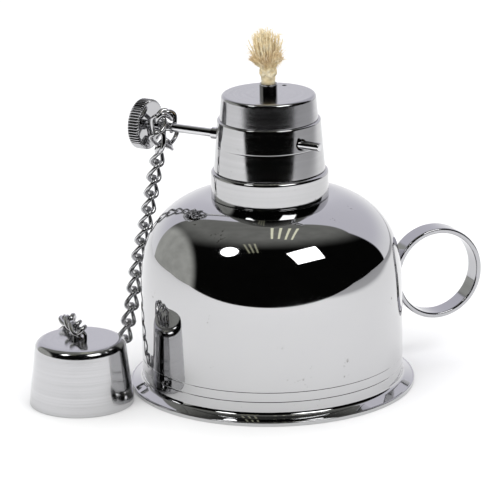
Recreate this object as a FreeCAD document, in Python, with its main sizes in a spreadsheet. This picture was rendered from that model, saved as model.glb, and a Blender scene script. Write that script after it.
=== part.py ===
import FreeCAD, Part
import Sketcher
import math
import os

# Spirit lamp with a wick raiser and a snuffer cap on a chain.  Millimetres, +Z up.
# The origin is the centre of the foot's underside, and the lamp's axis is Z.

Vector = FreeCAD.Vector
Rotation = FreeCAD.Rotation
doc = FreeCAD.newDocument("spirit_lamp")
sheet = doc.addObject("Spreadsheet::Sheet", "Sizes")


class Size:
    """A number together with the spreadsheet expression that gives it."""

    def __init__(self, value, text=None):
        self.value = float(value)
        self.text = text if text else repr(float(value))

    def _join(self, other, sign, value):
        other = other if isinstance(other, Size) else Size(other)
        return Size(value(self.value, other.value), f"({self.text} {sign} {other.text})")

    def __add__(self, other):
        return self._join(other, "+", lambda a, b: a + b)

    def __sub__(self, other):
        return self._join(other, "-", lambda a, b: a - b)

    def __mul__(self, other):
        return self._join(other, "*", lambda a, b: a * b)

    def __truediv__(self, other):
        return self._join(other, "/", lambda a, b: a / b)


row_number = 0


def size(name, value):
    """Write one driving dimension into the spreadsheet and hand back its Size."""
    global row_number
    row_number += 1
    sheet.set(f"A{row_number}", name)
    sheet.set(f"B{row_number}", str(value))
    sheet.setAlias(f"B{row_number}", name)
    return Size(value, f"Sizes.{name}")


def cosine(angle):
    return Size(math.cos(math.radians(angle.value)), f"cos({angle.text} * 1deg)")


def sine(angle):
    return Size(math.sin(math.radians(angle.value)), f"sin({angle.text} * 1deg)")


# ---------------------------------------------------------------- driving dimensions
# Fuel tank
foot_radius = size("foot_radius", 40.0)
foot_edge = size("foot_edge", 1.2)
flare_reach = size("flare_reach", 2.7)
flare_turn = size("flare_turn", 1.2)
flare_slope = size("flare_slope", 43.0)
wall_radius = size("wall_radius", 36.7)
tank_sheet = size("tank_sheet", 0.8)
wall_top = size("wall_top", 27.6)
shoulder_radius = size("shoulder_radius", 52.4)
shoulder_angle = size("shoulder_angle", 12.3)
deck_margin = size("deck_margin", 0.95)
bottom_sheet = size("bottom_sheet", 0.8)

# Threaded neck, gasket and burner
seat_gap = size("seat_gap", 0.05)
neck_radius = size("neck_radius", 12.9)
neck_bore = size("neck_bore", 10.4)
neck_height = size("neck_height", 5.2)
neck_flange = size("neck_flange", 2.4)
thread_depth = size("thread_depth", 0.5)
thread_pitch = size("thread_pitch", 1.5)
thread_clearance = size("thread_clearance", 0.1)
gasket_thickness = size("gasket_thickness", 0.8)
plate_thickness = size("plate_thickness", 0.8)
collar_wall = size("collar_wall", 3.4)
collar_lip = size("collar_lip", 0.7)
collar_rounding = size("collar_rounding", 0.85)
sleeve_foot_radius = size("sleeve_foot_radius", 15.5)
sleeve_top_radius = size("sleeve_top_radius", 14.4)
sleeve_height = size("sleeve_height", 14.55)
burner_sheet = size("burner_sheet", 0.7)
crown_foot_radius = size("crown_foot_radius", 13.7)
crown_top_radius = size("crown_top_radius", 13.1)
crown_height = size("crown_height", 7.0)
vent_radius = size("vent_radius", 0.65)
vent_reach = size("vent_reach", 9.8)
vent_bearing = size("vent_bearing", 63.0)

# Wick and its tube
tube_radius = size("tube_radius", 2.5)
tube_wall = size("tube_wall", 0.45)
tube_stand = size("tube_stand", 3.0)
tube_drop = size("tube_drop", 8.0)
wick_clearance = size("wick_clearance", 0.08)
wick_flare_radius = size("wick_flare_radius", 4.6)
wick_flare_height = size("wick_flare_height", 13.0)
wick_tail_bend = size("wick_tail_bend", 12.0)
wick_tail_height = size("wick_tail_height", 14.5)

# Wick raiser
shaft_bearing = size("shaft_bearing", -30.0)
shaft_offset = size("shaft_offset", 5.8)
shaft_lift = size("shaft_lift", 9.9)
shaft_radius = size("shaft_radius", 1.2)
shaft_peg = size("shaft_peg", 19.3)
shaft_clearance = size("shaft_clearance", 0.06)
knob_seat = size("knob_seat", 34.9)
knob_radius = size("knob_radius", 7.1)
knob_thickness = size("knob_thickness", 3.5)
knob_ribs = 52
knurl_depth = size("knurl_depth", 0.4)
knob_chamfer = size("knob_chamfer", 0.4)
wheel_thickness = size("wheel_thickness", 1.8)
wheel_teeth = 14
tooth_depth = size("tooth_depth", 0.7)
wick_bite = size("wick_bite", 0.05)
stop_gap = size("stop_gap", 0.1)
window_half_height = size("window_half_height", 2.7)
housing_half_width = size("housing_half_width", 2.2)
housing_sheet = size("housing_sheet", 0.6)
housing_half_height = size("housing_half_height", 3.8)
wheel_clearance = size("wheel_clearance", 0.35)
sleeve_hole_radius = size("sleeve_hole_radius", 1.65)
bush_depth = size("bush_depth", 2.0)
bush_standoff = size("bush_standoff", 1.1)
stop_ring_radius = size("stop_ring_radius", 2.6)
stop_ring_width = size("stop_ring_width", 1.6)

# Finger ring
ring_bearing = size("ring_bearing", 21.0)
ring_radius = size("ring_radius", 13.26)
ring_band = size("ring_band", 1.46)
ring_width = size("ring_width", 6.26)
ring_height = size("ring_height", 25.8)
solder_half_height = size("solder_half_height", 4.5)
solder_fill = size("solder_fill", 1.4)

# Snuffer cap and its staple
cap_bearing = size("cap_bearing", 197.03)
cap_gap = size("cap_gap", 1.04)
cap_mouth_radius = size("cap_mouth_radius", 14.6)
cap_shoulder_radius = size("cap_shoulder_radius", 12.45)
cap_height = size("cap_height", 18.25)
cap_rounding = size("cap_rounding", 2.3)
cap_sheet = size("cap_sheet", 0.6)
staple_wire = size("staple_wire", 0.5)
staple_bow = size("staple_bow", 1.5)
staple_stand = size("staple_stand", 0.6)
staple_bearing = 17.5
washer_radius = size("washer_radius", 3.4)
washer_thickness = size("washer_thickness", 0.5)

# Chain links
link_wire = size("link_wire", 0.5)
link_half_length = size("link_half_length", 2.9)
link_half_width = size("link_half_width", 1.6)

# Sizes that follow from those above
deck_radius = neck_radius + neck_flange + deck_margin
shoulder_run = shoulder_radius * (Size(1) - cosine(shoulder_angle))
dome_radius = (wall_radius - deck_radius - shoulder_run) / cosine(shoulder_angle)
deck_height = wall_top + shoulder_radius * sine(shoulder_angle)
deck_height = deck_height + dome_radius * (Size(1) - sine(shoulder_angle))
collar_foot = deck_height + seat_gap
neck_top = deck_height + neck_height
plate_foot = neck_top + gasket_thickness
plate_top = plate_foot + plate_thickness
collar_top = plate_top + collar_lip
sleeve_top = collar_top + sleeve_height
crown_top = sleeve_top + crown_height
tube_top = crown_top + tube_stand
shaft_height = collar_top + shaft_lift
collar_bore = neck_radius + thread_clearance
collar_radius = collar_bore + collar_wall
ring_centre = wall_radius + ring_radius
cap_reach = foot_radius + cap_gap + cap_mouth_radius
cap_across = cosine(cap_bearing) * cap_reach
cap_along = sine(cap_bearing) * cap_reach
wick_radius = tube_radius - tube_wall - wick_clearance
wheel_radius = shaft_offset - wick_radius - wick_bite


# ---------------------------------------------------------------- helpers
def bind(thing, **sizes):
    """Set each property to its size and tie it to the spreadsheet."""
    for prop, value in sizes.items():
        value = value if isinstance(value, Size) else Size(value)
        setattr(thing, prop, value.value)
        thing.setExpression(prop, value.text)
    return thing


def put(thing, across=0.0, along=0.0, up=0.0, rotation=Rotation()):
    """Place an object at a point whose coordinates are sizes."""
    point = [v if isinstance(v, Size) else Size(v) for v in (across, along, up)]
    thing.Placement = FreeCAD.Placement(Vector(*[v.value for v in point]), rotation)
    for axis, value in zip("xyz", point):
        if "Sizes" in value.text:
            thing.setExpression(f".Placement.Base.{axis}", value.text)
    return thing


def named(thing, label):
    thing.Label = label
    return thing


def cylinder(name, radius, height, **place):
    thing = bind(doc.addObject("Part::Cylinder", name), Radius=radius, Height=height)
    return put(thing, **place)


def box(name, length, width, height, **place):
    thing = doc.addObject("Part::Box", name)
    return put(bind(thing, Length=length, Width=width, Height=height), **place)


def cut(label, base, tool):
    thing = doc.addObject("Part::Cut", label)
    thing.Base = base
    thing.Tool = tool
    return named(thing, label)


def join(label, shapes):
    thing = doc.addObject("Part::MultiFuse", label)
    thing.Shapes = shapes
    return named(thing, label)


def plane_of(body, role):
    return [item for item in body.Origin.OriginFeatures if item.Role == role][0]


def new_sketch(body, name, role):
    sketch = body.newObject("Sketcher::SketchObject", name)
    sketch.AttachmentSupport = [(plane_of(body, role), "")]
    sketch.MapMode = "FlatFace"
    return sketch


def tie_point(sketch, geo, end, across, up):
    """Hold one end of a sketch line at a place given by two sizes."""
    for kind, axis, value in (("DistanceX", -2, across), ("DistanceY", -1, up)):
        value = value if isinstance(value, Size) else Size(value)
        if abs(value.value) < 1e-9:
            sketch.addConstraint(Sketcher.Constraint("PointOnObject", geo, end, axis))
            continue
        index = sketch.addConstraint(
            Sketcher.Constraint(kind, -1, 1, geo, end, value.value))
        sketch.setExpression(f"Constraints[{index}]", value.text)


def draw_outline(sketch, outline):
    """Draw a closed outline.  Each corner is (across, up), and a third item is the radius of
    the arc that leads on to the next corner: positive bulges left of the way there."""
    corners = [tuple(v if isinstance(v, Size) else Size(v) for v in c) for c in outline]
    count = len(corners)
    ends = []
    for index, corner in enumerate(corners):
        follower = corners[(index + 1) % count]
        start = Vector(corner[0].value, corner[1].value, 0)
        stop = Vector(follower[0].value, follower[1].value, 0)
        if len(corner) == 2:
            geo = sketch.addGeometry(Part.LineSegment(start, stop), False)
            ends.append((geo, 1, 2))
            continue
        radius = corner[2].value
        chord = stop - start
        side = Vector(-chord.y, chord.x, 0).normalize()
        reach = math.sqrt(max(radius ** 2 - chord.Length ** 2 / 4, 0))
        sign = 1 if radius > 0 else -1
        centre = (start + stop) / 2 - side * reach * sign
        middle = centre + side * abs(radius) * sign
        geo = sketch.addGeometry(Part.Arc(start, middle, stop), False)
        first_is_start = (sketch.getPoint(geo, 1) - start).Length < 1e-6
        ends.append((geo, 1, 2) if first_is_start else (geo, 2, 1))
        tie = sketch.addConstraint(Sketcher.Constraint("Radius", geo, abs(radius)))
        text = corner[2].text if radius > 0 else f"-({corner[2].text})"
        sketch.setExpression(f"Constraints[{tie}]", text)
    for index, corner in enumerate(corners):
        geo, first, last = ends[index]
        next_geo, next_first, _ = ends[(index + 1) % count]
        sketch.addConstraint(Sketcher.Constraint("Coincident", geo, last, next_geo, next_first))
        tie_point(sketch, geo, first, corner[0], corner[1])


def turned(label, outline, **place):
    """A body turned about its own Z axis from an outline given as (radius, height)."""
    body = doc.addObject("PartDesign::Body", label)
    sketch = new_sketch(body, label + "_outline", "XZ_Plane")
    draw_outline(sketch, outline)
    turn = body.newObject("PartDesign::Revolution", label + "_turn")
    turn.Profile = sketch
    turn.ReferenceAxis = (sketch, ["V_Axis"])
    turn.Angle = 360
    return put(named(body, label), **place)


def ring(label, inner, outer, foot, top, **place):
    return turned(label, [(inner, foot), (outer, foot), (outer, top), (inner, top)], **place)


def toothed(label, radius, thickness, bore, teeth, depth, half_width, chamfer, **place):
    """A disc on its own Z axis with straight grooves cut round its edge."""
    body = doc.addObject("PartDesign::Body", label)
    disc = new_sketch(body, label + "_disc", "XY_Plane")
    draw_circle(disc, radius)
    if bore:
        draw_circle(disc, bore)
    pad = bind(body.newObject("PartDesign::Pad", label + "_pad"), Length=thickness)
    pad.Profile = disc
    doc.recompute()
    if chamfer:
        rims = edges_of_radius(pad.Shape, radius.value)
        bevel = body.newObject("PartDesign::Chamfer", label + "_bevel")
        bevel.Base = (pad, rims)
        bind(bevel, Size=chamfer)
    groove = new_sketch(body, label + "_groove", "XY_Plane")
    draw_outline(groove, [(radius - depth, 0), (radius + depth, half_width * -1),
                          (radius + depth, half_width)])
    pocket = body.newObject("PartDesign::Pocket", label + "_pocket")
    pocket.Profile = groove
    pocket.Type = "ThroughAll"
    pocket.SideType = "Symmetric"
    pattern = body.newObject("PartDesign::PolarPattern", label + "_pattern")
    pattern.Originals = [pocket]
    pattern.Axis = (disc, ["N_Axis"])
    pattern.Angle = 360
    pattern.Occurrences = teeth
    body.Tip = pattern
    return put(named(body, label), **place)


def draw_circle(sketch, radius):
    circle = Part.Circle(Vector(0, 0, 0), Vector(0, 0, 1), radius.value)
    geo = sketch.addGeometry(circle, False)
    sketch.addConstraint(Sketcher.Constraint("Coincident", geo, 3, -1, 1))
    tie = sketch.addConstraint(Sketcher.Constraint("Radius", geo, radius.value))
    sketch.setExpression(f"Constraints[{tie}]", radius.text)


def edges_of_radius(shape, radius):
    names = []
    for index, edge in enumerate(shape.Edges):
        curve = edge.Curve
        if isinstance(curve, Part.Circle) and abs(curve.Radius - radius) < 1e-6:
            names.append(f"Edge{index + 1}")
    return names


def on_shaft(distance, drop=None):
    """The place on the raiser's line that lies this far along it."""
    offset = shaft_offset if drop is None else drop
    across = cosine(shaft_bearing) * distance + sine(shaft_bearing) * offset
    along = sine(shaft_bearing) * distance - cosine(shaft_bearing) * offset
    return {"across": across, "along": along, "up": shaft_height}


along_shaft = Rotation(shaft_bearing.value, 90, 0)
shaft_frame = Rotation(Vector(0, 0, 1), shaft_bearing.value)


# ---------------------------------------------------------------- fuel tank
def make_tank_shell():
    """Drawn dome with a flared foot.  The inside follows the outside one sheet further in."""
    inner_shoulder = shoulder_radius - tank_sheet
    inner_dome = dome_radius - tank_sheet
    hub = wall_radius - shoulder_radius
    bend = hub + shoulder_radius * cosine(shoulder_angle)
    bend_up = wall_top + shoulder_radius * sine(shoulder_angle)
    flare_rise = sine(flare_slope)
    flare_run = cosine(flare_slope)
    cone_in = flare_turn * (flare_rise * -1 + 1)
    cone_up = foot_edge + (flare_reach - cone_in) * flare_rise / flare_run
    turned("tank_shell", [
        (wall_radius - tank_sheet, foot_edge),
        (wall_radius + flare_reach, foot_edge),
        (wall_radius + cone_in, cone_up, flare_turn),
        (wall_radius, cone_up + flare_turn * flare_run),
        (wall_radius, wall_top, shoulder_radius * -1),
        (bend, bend_up, dome_radius * -1),
        (deck_radius, deck_height),
        (neck_radius, deck_height),
        (neck_radius, deck_height - tank_sheet),
        (deck_radius, deck_height - tank_sheet, inner_dome),
        (hub + inner_shoulder * cosine(shoulder_angle),
         wall_top + inner_shoulder * sine(shoulder_angle), inner_shoulder),
        (wall_radius - tank_sheet, wall_top),
    ])


def make_neck_ring():
    """Threaded neck with a flange under the deck, its thread drawn as round ridges."""
    under_deck = deck_height - tank_sheet
    outline = [
        (neck_bore, under_deck - tank_sheet),
        (neck_radius + neck_flange, under_deck - tank_sheet),
        (neck_radius + neck_flange, under_deck),
        (neck_radius, under_deck),
    ]
    for turn in range(3):
        crest = deck_height + thread_pitch * (turn + 0.5)
        outline.append((neck_radius, crest))
        outline.append((neck_radius - thread_depth, crest + thread_pitch / 2))
    outline.append((neck_radius - thread_depth, neck_top))
    outline.append((neck_bore, neck_top))
    turned("neck_ring", outline)


make_tank_shell()
ring("foot_rim", wall_radius - tank_sheet, foot_radius, 0, foot_edge)
bottom_radius = wall_radius - tank_sheet
turned("tank_bottom", [(0, 0), (bottom_radius, 0), (bottom_radius, bottom_sheet),
                       (0, bottom_sheet)])
make_neck_ring()


def make_handle():
    """Flat-band finger ring, standing in the plane of the lamp's axis, and its soldered seat."""
    across = cosine(ring_bearing) * ring_centre
    along = sine(ring_bearing) * ring_centre
    turn = Rotation(ring_bearing.value, 0, 90)
    ring("handle_ring", ring_radius - ring_band, ring_radius, ring_width / -2, ring_width / 2,
         across=across, along=along, up=ring_height, rotation=turn)
    level = Rotation(Vector(0, 0, 1), ring_bearing.value)
    start = wall_radius - solder_fill
    side = ring_width / 2
    seat = box("solder_block", solder_fill * 2, ring_width, solder_half_height * 2,
               across=cosine(ring_bearing) * start + sine(ring_bearing) * side,
               along=sine(ring_bearing) * start - cosine(ring_bearing) * side,
               up=ring_height - solder_half_height, rotation=level)
    wall = cylinder("wall_space", wall_radius, deck_height)
    length = ring_width * 2
    band = cylinder("band_space", ring_radius, length,
                    across=across + sine(ring_bearing) * ring_width,
                    along=along - cosine(ring_bearing) * ring_width,
                    up=ring_height, rotation=Rotation(ring_bearing.value, 0, -90))
    cut("handle_solder", cut("solder_on_wall", seat, wall), band)


make_handle()

# ---------------------------------------------------------------- burner
ring("neck_gasket", neck_bore, neck_radius, neck_top, plate_foot)

turned("burner_collar", [
    (collar_bore, collar_foot),
    (collar_radius, collar_foot),
    (collar_radius, collar_top - collar_rounding, collar_rounding * -1),
    (collar_radius - collar_rounding, collar_top),
    (neck_bore, collar_top),
    (neck_bore, plate_top),
    (collar_bore, plate_top),
])
ring("burner_plate", tube_radius, collar_bore, plate_foot, plate_top)


def shaft_hole(name, radius):
    """A bar along the raiser's line, long enough to cut both sides of the sleeve."""
    reach = sleeve_foot_radius * 1.5
    return cylinder(name, radius, reach * 2, rotation=along_shaft, **on_shaft(reach * -1))


def shaft_box(name, half_length, near, far, half_height):
    """A block on the raiser's line, from near to far off the lamp's axis."""
    corner = {"across": cosine(shaft_bearing) * half_length * -1 + sine(shaft_bearing) * far,
              "along": sine(shaft_bearing) * half_length * -1 - cosine(shaft_bearing) * far,
              "up": shaft_height - half_height}
    return box(name, half_length * 2, far - near, half_height * 2,
               rotation=shaft_frame, **corner)


def make_sleeve():
    blank = turned("sleeve_blank", [
        (sleeve_foot_radius - burner_sheet, collar_top),
        (sleeve_foot_radius, collar_top),
        (sleeve_top_radius, sleeve_top),
        (crown_foot_radius - burner_sheet * 2, sleeve_top),
        (crown_foot_radius - burner_sheet * 2, sleeve_top - burner_sheet),
        (sleeve_top_radius - burner_sheet, sleeve_top - burner_sheet),
    ])
    cut("burner_sleeve", blank, shaft_hole("sleeve_holes", sleeve_hole_radius))


def make_crown():
    blank = turned("crown_blank", [
        (crown_foot_radius - burner_sheet, sleeve_top),
        (crown_foot_radius, sleeve_top),
        (crown_top_radius, crown_top),
        (tube_radius, crown_top),
        (tube_radius, crown_top - burner_sheet),
        (crown_top_radius - burner_sheet, crown_top - burner_sheet),
    ])
    vent = cylinder("vent_hole", vent_radius, burner_sheet * 3,
                    across=cosine(vent_bearing) * vent_reach,
                    along=sine(vent_bearing) * vent_reach,
                    up=crown_top - burner_sheet * 2)
    cut("burner_crown", blank, vent)


def make_wick_tube():
    """Tube from below the plate to above the crown, with a window for the wheel."""
    blank = ring("tube_blank", tube_radius - tube_wall, tube_radius,
                 plate_foot - tube_drop, tube_top)
    window = shaft_box("wheel_window", wheel_thickness / 2 + wheel_clearance,
                       wick_radius / 2, tube_radius * 2, window_half_height)
    cut("wick_tube", blank, window)


make_sleeve()
make_crown()
make_wick_tube()


def make_wheel_housing():
    """Channel soldered to the tube; its cheeks carry the shaft on both sides of the wheel."""
    reach = shaft_offset + wheel_radius + wheel_clearance + housing_sheet
    outside = shaft_box("housing_block", housing_half_width, Size(0), reach, housing_half_height)
    inside = shaft_box("housing_space", housing_half_width - housing_sheet, tube_radius * -1,
                       reach - housing_sheet, housing_half_height + housing_sheet)
    tube = cylinder("tube_space", tube_radius, sleeve_height, up=collar_top)
    bore = shaft_hole("housing_bore", shaft_radius + shaft_clearance)
    cut("wheel_housing", outside, join("housing_cuts", [inside, tube, bore]))


def wall_crossing():
    """How far along its line the shaft meets the outside of the sleeve."""
    taper = (sleeve_foot_radius - sleeve_top_radius) / sleeve_height
    radius = sleeve_foot_radius - taper * shaft_lift
    reach = math.sqrt(radius.value ** 2 - shaft_offset.value ** 2)
    return Size(reach, f"sqrt({radius.text}^2 - {shaft_offset.text}^2)")


make_wheel_housing()
crossing = wall_crossing()
bush_bore = shaft_radius + shaft_clearance
ring("shaft_bush", bush_bore, sleeve_hole_radius, 0, bush_standoff + bush_depth,
     rotation=along_shaft, **on_shaft((crossing + bush_standoff) * -1))


# ---------------------------------------------------------------- wick raiser
cylinder("raiser_shaft", shaft_radius, knob_seat + shaft_peg,
         rotation=along_shaft, **on_shaft(knob_seat * -1)).Label = "raiser_shaft"
toothed("adjuster_knob", knob_radius, knob_thickness, None, knob_ribs, knurl_depth,
        knurl_depth * 0.85, knob_chamfer,
        rotation=along_shaft, **on_shaft((knob_seat + knob_thickness) * -1))
toothed("wick_wheel", wheel_radius, wheel_thickness, shaft_radius, wheel_teeth, tooth_depth,
        tooth_depth * 0.8, None, rotation=along_shaft, **on_shaft(wheel_thickness / -2))


def make_stop_rings():
    """Two rings fixed on the shaft, one against each cheek of the wheel's housing."""
    near = housing_half_width + stop_gap
    rings = []
    for side, start in (("left", (near + stop_ring_width) * -1), ("right", near)):
        rings.append(ring("stop_ring_" + side, shaft_radius, stop_ring_radius, 0,
                          stop_ring_width, rotation=along_shaft, **on_shaft(start)))
    join("stop_rings", rings)


make_stop_rings()


def make_wick():
    """Braided wick: a straight length through the tube, a spread head and a bent tail."""
    bend_top = wick_tail_height + wick_tail_bend
    length = turned("wick_length", [
        (0, bend_top),
        (wick_radius, bend_top),
        (wick_radius, tube_top + wick_radius / 2),
        (wick_flare_radius, tube_top + wick_flare_height * 0.72),
        (wick_flare_radius * 0.8, tube_top + wick_flare_height),
        (0, tube_top + wick_flare_height * 1.1),
    ])
    tail = bind(doc.addObject("Part::Torus", "wick_bend"),
                Radius1=wick_tail_bend, Radius2=wick_radius, Angle3=90)
    down = Rotation(Vector(-1, 0, 0), Vector(0, 0, -1), Vector(0, -1, 0), "XYZ")
    put(tail, across=wick_tail_bend, up=bend_top, rotation=down)
    join("wick", [length, tail])


make_wick()

# ---------------------------------------------------------------- snuffer cap
staple_turn = Rotation(Vector(0, 0, 1), staple_bearing)


def staple_leg(name, side, foot, height):
    """One straight leg of the staple, beside the middle of the cap."""
    radians = math.radians(staple_bearing)
    across = cap_across + staple_bow * (side * math.cos(radians))
    along = cap_along + staple_bow * (side * math.sin(radians))
    return cylinder(name, staple_wire, height, across=across, along=along, up=foot)


def make_cap():
    """Drawn cap, open below, with a wire staple clenched through its top over a washer."""
    waist = cap_height - cap_rounding
    crest = cap_shoulder_radius - cap_rounding
    blank = turned("cap_blank", [
        (cap_mouth_radius - cap_sheet, 0),
        (cap_mouth_radius, 0),
        (cap_shoulder_radius, waist, cap_rounding * -1),
        (crest, cap_height),
        (0, cap_height),
        (0, cap_height - cap_sheet),
        (crest, cap_height - cap_sheet, cap_rounding - cap_sheet),
        (cap_shoulder_radius - cap_sheet, waist),
    ], across=cap_across, along=cap_along)
    foot = cap_height - cap_sheet - washer_thickness
    plate = cylinder("washer_blank", washer_radius, washer_thickness, across=cap_across,
                     along=cap_along, up=foot)
    height = cap_sheet + washer_thickness + staple_stand
    legs = [staple_leg("staple_leg_left", -1, foot, height),
            staple_leg("staple_leg_right", 1, foot, height)]
    holes = join("staple_holes", [
        staple_leg("staple_hole_left", -1, foot, height),
        staple_leg("staple_hole_right", 1, foot, height)])
    cut("cap_shell", blank, holes)
    cut("staple_washer", plate, holes)
    bow = bind(doc.addObject("Part::Torus", "staple_top"),
               Radius1=staple_bow, Radius2=staple_wire, Angle3=180)
    upright = staple_turn * Rotation(Vector(1, 0, 0), 90)
    put(bow, across=cap_across, along=cap_along, up=cap_height + staple_stand, rotation=upright)
    join("cap_staple", legs + [bow])


make_cap()


# ---------------------------------------------------------------- chain
LINK_GAP = 0.15
wire = link_wire.value
half_length = link_half_length.value
half_width = link_half_width.value
pitch = 2 * (half_length - wire) - LINK_GAP
hook = half_length - pitch / 2


def make_link(middle, along, across):
    """One oval wire link about its middle: along its length and across its width."""
    straight = half_length - half_width
    bow = Part.makeTorus(half_width, wire, Vector(0, straight, 0), Vector(0, 0, 1), -180, 180, 180)
    other = bow.copy()
    other.rotate(Vector(0, 0, 0), Vector(0, 0, 1), 180)
    sides = []
    for side in (-half_width, half_width):
        start = Vector(side, -straight, 0)
        sides.append(Part.makeCylinder(wire, 2 * straight, start, Vector(0, 1, 0)))
    link = bow.fuse([other] + sides)
    normal = across.cross(along)
    turn = Rotation(across, along, normal, "YXZ")
    link.Placement = FreeCAD.Placement(middle, turn)
    return link


def square_to(direction, along):
    """The part of a direction that is square to the link's length, at unit length."""
    return (direction - along * direction.dot(along)).normalize()


def make_links(label, joints, widths):
    """Links from joint to joint, each with its own width direction, as one node."""
    links = []
    for start, stop, across in zip(joints, joints[1:], widths):
        along = (stop - start).normalize()
        links.append(make_link((start + stop) / 2, along, square_to(across, along)))
    chain = doc.addObject("Part::Feature", label)
    chain.Shape = Part.makeCompound(links)
    chain.Label = label


def rolling_widths(joints, across, turn):
    """Width directions when each link is turned this far about its length from the last."""
    widths = []
    for start, stop in zip(joints, joints[1:]):
        along = (stop - start).normalize()
        widths.append(square_to(across, along))
        across = Rotation(along, turn).multVec(widths[-1])
    return widths


shaft_way = shaft_frame.multVec(Vector(1, 0, 0))
aside = shaft_frame.multVec(Vector(0, -1, 0))
LOOP_PLACE = -30.7


def make_chain_loop():
    """Six links round the shaft beside the knob.  Returns the wire that the chain hangs from."""
    middle = Vector(*[on_shaft(Size(LOOP_PLACE))[axis].value for axis in ("across", "along", "up")])
    lift = shaft_radius.value + wire + half_width * math.sqrt(0.5) + 0.05
    half_top = pitch / 2
    half_waist = half_top + 1.6
    drop = math.sqrt(pitch ** 2 - (half_waist - half_top) ** 2)
    corners = [(half_top, 0), (half_waist, -drop), (half_top, -2 * drop),
               (-half_top, -2 * drop), (-half_waist, -drop), (-half_top, 0), (half_top, 0)]
    joints = [middle + aside * out + Vector(0, 0, lift + up) for out, up in corners]
    widths = []
    for index, (start, stop) in enumerate(zip(joints, joints[1:])):
        outward = shaft_way.cross((stop - start).normalize())
        widths.append(shaft_way + outward * (-1) ** index)
    make_links("chain_loop", joints, widths)
    slant = half_width * math.sqrt(0.5)
    return middle - shaft_way * slant + Vector(0, 0, lift - 2 * drop - slant)


hanger = make_chain_loop()
cap_middle = Vector(cap_across.value, cap_along.value, 0)
away = staple_turn.multVec(Vector(0, 1, 0))
chain_end = cap_middle - away * hook + Vector(0, 0, cap_height.value + half_width + wire + 0.25)


def beside_cap(bearing, stand_off, height):
    """A point this far outside the cap's mouth, seen from its middle at a compass bearing."""
    reach = cap_mouth_radius.value + stand_off
    turn = math.radians(bearing)
    return cap_middle + Vector(math.cos(turn) * reach, math.sin(turn) * reach, height)


cap_top = cap_height.value
chain_route = [
    hanger + Vector(0, 0, hook),
    Vector(-31.9, 11.0, 60.2),
    Vector(-33.5, 10.8, 51.7),
    Vector(-35.6, 10.4, 41.8),
    Vector(-37.8, 9.6, 32),
    Vector(-39.2, 7.6, 23),
    Vector(-41.3, 4.9, 13.1),
    beside_cap(64.5, 6.1, 5.6),
    beside_cap(75.5, 3.9, 2.5),
    beside_cap(90, 3.3, 2.4),
    beside_cap(103.5, 2.6, 4.4),
    beside_cap(109.8, 2.0, 9.6),
    beside_cap(110.2, 0.8, cap_top - 3.05),
    beside_cap(110, -1.7, cap_top + 1.75),
    beside_cap(110.3, -6.0, cap_top + 2.75),
    beside_cap(110.5, -10.3, cap_top + 2.45),
    chain_end,
]
HANGING_LINKS = 12


def step_along(curve, start, length):
    """The parameter at which the curve is first one chord's length from the point at start."""
    origin = curve.value(start)
    stride = (curve.LastParameter - curve.FirstParameter) / 400
    place = start
    while (curve.value(place) - origin).Length < length:
        if place >= curve.LastParameter:
            return curve.LastParameter
        place = min(place + stride, curve.LastParameter)
    low = place - stride
    high = place
    while high - low > stride * 1e-6:
        middle = (low + high) / 2
        if (curve.value(middle) - origin).Length < length:
            low = middle
        else:
            high = middle
    return high


def walk(curve, chord, count):
    places = [curve.FirstParameter]
    for _ in range(count):
        places.append(step_along(curve, places[-1], chord))
    return places


def chain_joints():
    """Points where links meet: even chords along a smooth curve, ending exactly at its end."""
    curve = Part.BSplineCurve()
    curve.interpolate(chain_route)
    count = round(curve.length() / pitch)
    low = pitch * 0.8
    high = pitch * 1.2
    while high - low > 1e-5:
        chord = (low + high) / 2
        if walk(curve, chord, count)[-1] >= curve.LastParameter:
            high = chord
        else:
            low = chord
    return [curve.value(place) for place in walk(curve, low, count)]


def turn_for(points, across, final):
    """The turn per link, near a quarter, that ends with the last width along final."""
    best = 90.0
    least = 180.0
    for tenth in range(-150, 151):
        last = rolling_widths(points, across, 90 + tenth / 10)[-1]
        off = math.degrees(last.getAngle(final))
        off = min(off, 180 - off) + abs(tenth) / 100
        if off < least:
            least = off
            best = 90 + tenth / 10
    return best


joints = chain_joints()
hanging = joints[:HANGING_LINKS + 1]
draped = joints[HANGING_LINKS:]
hanging_widths = rolling_widths(hanging, shaft_way, 90)
make_links("hanging_chain", hanging, hanging_widths)
last_way = (hanging[-1] - hanging[-2]).normalize()
first_draped = Rotation(last_way, 90).multVec(hanging_widths[-1])
roll = turn_for(draped, first_draped, Vector(0, 0, 1))
make_links("cap_chain", draped, rolling_widths(draped, first_draped, roll))
print("hang pivot", hanger)
print("cap pivot", hanging[-1] + last_way * hook)

# ---------------------------------------------------------------- build, check and write
doc.recompute()
os.makedirs("parts", exist_ok=True)
NODES = [
    "tank_shell", "foot_rim", "tank_bottom", "neck_ring", "handle_ring", "handle_solder",
    "neck_gasket", "burner_collar", "burner_plate", "burner_sleeve", "burner_crown",
    "wick_tube", "wheel_housing", "shaft_bush", "raiser_shaft", "adjuster_knob",
    "wick_wheel", "stop_rings", "wick", "cap_shell", "staple_washer", "cap_staple",
    "chain_loop", "hanging_chain", "cap_chain",
]
for item in doc.Objects:
    if "Invalid" in item.State or "Error" in item.State:
        raise RuntimeError(f"{item.Label} did not recompute: {item.State}")
for node in NODES:
    found = doc.getObjectsByLabel(node)
    if len(found) != 1:
        raise RuntimeError(f"{node} is the label of {len(found)} objects")
    shape = found[0].Shape
    if shape.isNull() or not shape.isValid() or not shape.Solids:
        raise RuntimeError(f"{node} has no valid solid")
    shape.exportStep(f"parts/{node}.step")
    print(node, len(shape.Solids), round(shape.Volume, 2), shape.BoundBox)
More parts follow.
